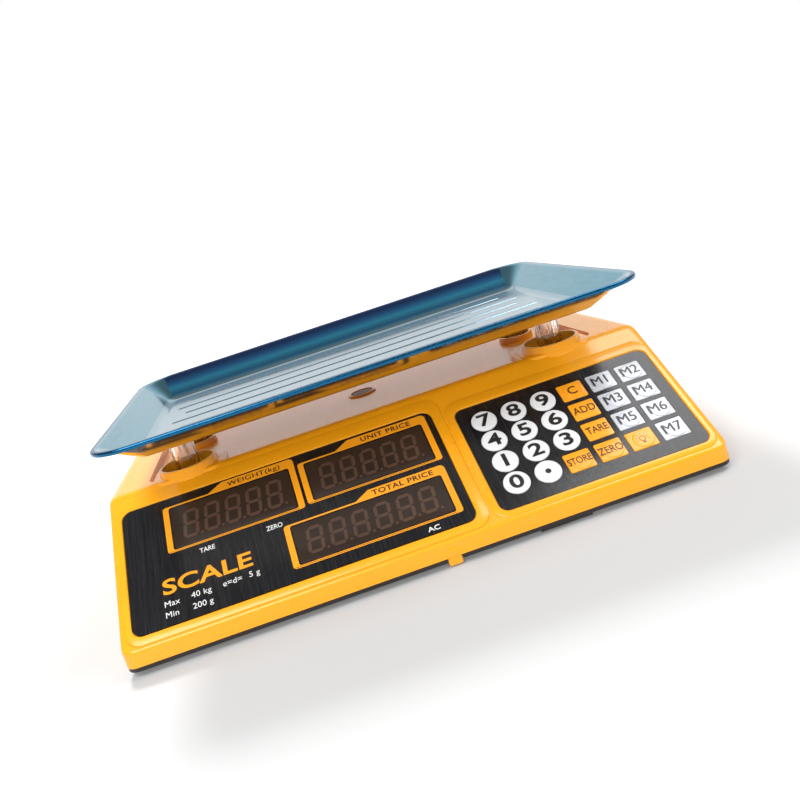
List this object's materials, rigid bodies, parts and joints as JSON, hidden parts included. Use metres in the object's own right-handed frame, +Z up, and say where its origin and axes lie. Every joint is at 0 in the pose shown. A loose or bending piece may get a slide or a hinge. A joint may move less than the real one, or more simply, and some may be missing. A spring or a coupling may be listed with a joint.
{
  "type": "retail price scale",
  "caption": "Low counter scale with a lift-off tray pan on clear posts, sloped panel with display windows and membrane keys, rear customer display and adjustable feet.",
  "frame": {"origin": "centre of the footprint, on the counter", "axes": "+X to the operator's right, +Y away from the operator, +Z up"},
  "size_m": [0.35, 0.291, 0.1175],
  "materials": {
    "orange_abs": "gloss moulded",
    "black_abs": "fine matte moulded",
    "label_film": "gloss film with a fine brushed print",
    "smoked_filter": "polished smoked acrylic",
    "led_module": "matte",
    "board": "satin solder mask",
    "key_white": "gloss film",
    "key_silver": "satin silver print",
    "key_orange": "gloss film",
    "cell_aluminium": "machined",
    "battery_case": "matte",
    "transformer_core": "laminated steel",
    "rocker_red": "gloss moulded",
    "vial_clear": "polished clear acrylic",
    "clear_post": "polished clear polycarbonate",
    "pan_steel": "polished stainless steel under a blue protective film",
    "foot_rubber": "matte",
    "pad_rubber": "matte",
    "screw_steel": "plated"
  },
  "bodies": {
    "housing": {"upper_housing": "orange_abs", "base_tray": "black_abs", "display_label": "label_film", "display_filter": "smoked_filter", "led_weight": "led_module", "led_unit_price": "led_module", "led_total_price": "led_module", "display_board": "board", "keypad_overlay": "label_film", "keypad_board": "board", "load_cell": "cell_aluminium", "load_cell_riser": "cell_aluminium", "battery": "battery_case", "transformer": "transformer_core", "rocker_frame": "black_abs", "mains_inlet": "black_abs", "customer_label": "label_film", "customer_filter": "smoked_filter", "customer_display_board": "board", "level_vial": "vial_clear", "case_screw_front_left": "screw_steel", "case_screw_front_right": "screw_steel", "case_screw_rear_left": "screw_steel", "case_screw_rear_right": "screw_steel"},
    "platform": {"pan_support": "clear_post", "pan_pad_front_left": "pad_rubber", "pan_pad_front_right": "pad_rubber", "pan_pad_rear_left": "pad_rubber", "pan_pad_rear_right": "pad_rubber"},
    "pan": {"weighing_pan": "pan_steel"},
    "rocker": {"power_rocker": "rocker_red"},
    "door": {"battery_door": "black_abs"},
    "key_7_body": {"key_7": "key_white"},
    "key_8_body": {"key_8": "key_white"},
    "key_9_body": {"key_9": "key_white"},
    "key_c_body": {"key_c": "key_orange"},
    "key_m1_body": {"key_m1": "key_silver"},
    "key_m2_body": {"key_m2": "key_silver"},
    "key_4_body": {"key_4": "key_white"},
    "key_5_body": {"key_5": "key_white"},
    "key_6_body": {"key_6": "key_white"},
    "key_add_body": {"key_add": "key_orange"},
    "key_m3_body": {"key_m3": "key_silver"},
    "key_m4_body": {"key_m4": "key_silver"},
    "key_1_body": {"key_1": "key_white"},
    "key_2_body": {"key_2": "key_white"},
    "key_3_body": {"key_3": "key_white"},
    "key_tare_body": {"key_tare": "key_orange"},
    "key_m5_body": {"key_m5": "key_silver"},
    "key_m6_body": {"key_m6": "key_silver"},
    "key_0_body": {"key_0": "key_white"},
    "key_point_body": {"key_point": "key_white"},
    "key_store_body": {"key_store": "key_orange"},
    "key_zero_body": {"key_zero": "key_orange"},
    "key_light_body": {"key_light": "key_orange"},
    "key_m7_body": {"key_m7": "key_silver"},
    "foot_front_left_body": {"foot_front_left": "foot_rubber"},
    "foot_front_right_body": {"foot_front_right": "foot_rubber"},
    "foot_rear_left_body": {"foot_rear_left": "foot_rubber"},
    "foot_rear_right_body": {"foot_rear_right": "foot_rubber"}
  },
  "joints": [
    {"name": "platform_travel", "type": "slide", "parent": "housing", "child": "platform", "axis": [0, 0, -1], "range_m": [0, 0.001], "stiffness_N_per_m": 400000, "deforming": ["load_cell"]},
    {"name": "pan_lift", "type": "slide", "parent": "platform", "child": "pan", "axis": [0, 0, 1], "range_m": [0, 0.06]},
    {"name": "rocker_tilt", "type": "hinge", "parent": "housing", "child": "rocker", "pos_m": [0.1686, 0.039, 0.0305], "axis": [0, 0, 1], "range_deg": [-16, 0]},
    {"name": "door_release", "type": "slide", "parent": "housing", "child": "door", "axis": [0, 0, -1], "range_m": [0, 0.03]},
    {"name": "key_7_press", "type": "slide", "parent": "housing", "child": "key_7_body", "axis": [0, 0.5543, -0.8323], "range_m": [0, 0.0005], "stiffness_N_per_m": 2000},
    {"name": "key_8_press", "type": "slide", "parent": "housing", "child": "key_8_body", "axis": [0, 0.5543, -0.8323], "range_m": [0, 0.0005], "stiffness_N_per_m": 2000},
    {"name": "key_9_press", "type": "slide", "parent": "housing", "child": "key_9_body", "axis": [0, 0.5543, -0.8323], "range_m": [0, 0.0005], "stiffness_N_per_m": 2000},
    {"name": "key_c_press", "type": "slide", "parent": "housing", "child": "key_c_body", "axis": [0, 0.5543, -0.8323], "range_m": [0, 0.0005], "stiffness_N_per_m": 2000},
    {"name": "key_m1_press", "type": "slide", "parent": "housing", "child": "key_m1_body", "axis": [0, 0.5543, -0.8323], "range_m": [0, 0.0005], "stiffness_N_per_m": 2000},
    {"name": "key_m2_press", "type": "slide", "parent": "housing", "child": "key_m2_body", "axis": [0, 0.5543, -0.8323], "range_m": [0, 0.0005], "stiffness_N_per_m": 2000},
    {"name": "key_4_press", "type": "slide", "parent": "housing", "child": "key_4_body", "axis": [0, 0.5543, -0.8323], "range_m": [0, 0.0005], "stiffness_N_per_m": 2000},
    {"name": "key_5_press", "type": "slide", "parent": "housing", "child": "key_5_body", "axis": [0, 0.5543, -0.8323], "range_m": [0, 0.0005], "stiffness_N_per_m": 2000},
    {"name": "key_6_press", "type": "slide", "parent": "housing", "child": "key_6_body", "axis": [0, 0.5543, -0.8323], "range_m": [0, 0.0005], "stiffness_N_per_m": 2000},
    {"name": "key_add_press", "type": "slide", "parent": "housing", "child": "key_add_body", "axis": [0, 0.5543, -0.8323], "range_m": [0, 0.0005], "stiffness_N_per_m": 2000},
    {"name": "key_m3_press", "type": "slide", "parent": "housing", "child": "key_m3_body", "axis": [0, 0.5543, -0.8323], "range_m": [0, 0.0005], "stiffness_N_per_m": 2000},
    {"name": "key_m4_press", "type": "slide", "parent": "housing", "child": "key_m4_body", "axis": [0, 0.5543, -0.8323], "range_m": [0, 0.0005], "stiffness_N_per_m": 2000},
    {"name": "key_1_press", "type": "slide", "parent": "housing", "child": "key_1_body", "axis": [0, 0.5543, -0.8323], "range_m": [0, 0.0005], "stiffness_N_per_m": 2000},
    {"name": "key_2_press", "type": "slide", "parent": "housing", "child": "key_2_body", "axis": [0, 0.5543, -0.8323], "range_m": [0, 0.0005], "stiffness_N_per_m": 2000},
    {"name": "key_3_press", "type": "slide", "parent": "housing", "child": "key_3_body", "axis": [0, 0.5543, -0.8323], "range_m": [0, 0.0005], "stiffness_N_per_m": 2000},
    {"name": "key_tare_press", "type": "slide", "parent": "housing", "child": "key_tare_body", "axis": [0, 0.5543, -0.8323], "range_m": [0, 0.0005], "stiffness_N_per_m": 2000},
    {"name": "key_m5_press", "type": "slide", "parent": "housing", "child": "key_m5_body", "axis": [0, 0.5543, -0.8323], "range_m": [0, 0.0005], "stiffness_N_per_m": 2000},
    {"name": "key_m6_press", "type": "slide", "parent": "housing", "child": "key_m6_body", "axis": [0, 0.5543, -0.8323], "range_m": [0, 0.0005], "stiffness_N_per_m": 2000},
    {"name": "key_0_press", "type": "slide", "parent": "housing", "child": "key_0_body", "axis": [0, 0.5543, -0.8323], "range_m": [0, 0.0005], "stiffness_N_per_m": 2000},
    {"name": "key_point_press", "type": "slide", "parent": "housing", "child": "key_point_body", "axis": [0, 0.5543, -0.8323], "range_m": [0, 0.0005], "stiffness_N_per_m": 2000},
    {"name": "key_store_press", "type": "slide", "parent": "housing", "child": "key_store_body", "axis": [0, 0.5543, -0.8323], "range_m": [0, 0.0005], "stiffness_N_per_m": 2000},
    {"name": "key_zero_press", "type": "slide", "parent": "housing", "child": "key_zero_body", "axis": [0, 0.5543, -0.8323], "range_m": [0, 0.0005], "stiffness_N_per_m": 2000},
    {"name": "key_light_press", "type": "slide", "parent": "housing", "child": "key_light_body", "axis": [0, 0.5543, -0.8323], "range_m": [0, 0.0005], "stiffness_N_per_m": 2000},
    {"name": "key_m7_press", "type": "slide", "parent": "housing", "child": "key_m7_body", "axis": [0, 0.5543, -0.8323], "range_m": [0, 0.0005], "stiffness_N_per_m": 2000},
    {"name": "foot_front_left_screw", "type": "hinge", "parent": "housing", "child": "foot_front_left_body", "pos_m": [-0.15, -0.118, 0], "axis": [0, 0, 1], "continuous": true},
    {"name": "foot_front_right_screw", "type": "hinge", "parent": "housing", "child": "foot_front_right_body", "pos_m": [0.15, -0.118, 0], "axis": [0, 0, 1], "continuous": true},
    {"name": "foot_rear_left_screw", "type": "hinge", "parent": "housing", "child": "foot_rear_left_body", "pos_m": [-0.15, 0.118, 0], "axis": [0, 0, 1], "continuous": true},
    {"name": "foot_rear_right_screw", "type": "hinge", "parent": "housing", "child": "foot_rear_right_body", "pos_m": [0.15, 0.118, 0], "axis": [0, 0, 1], "continuous": true}
  ]
}
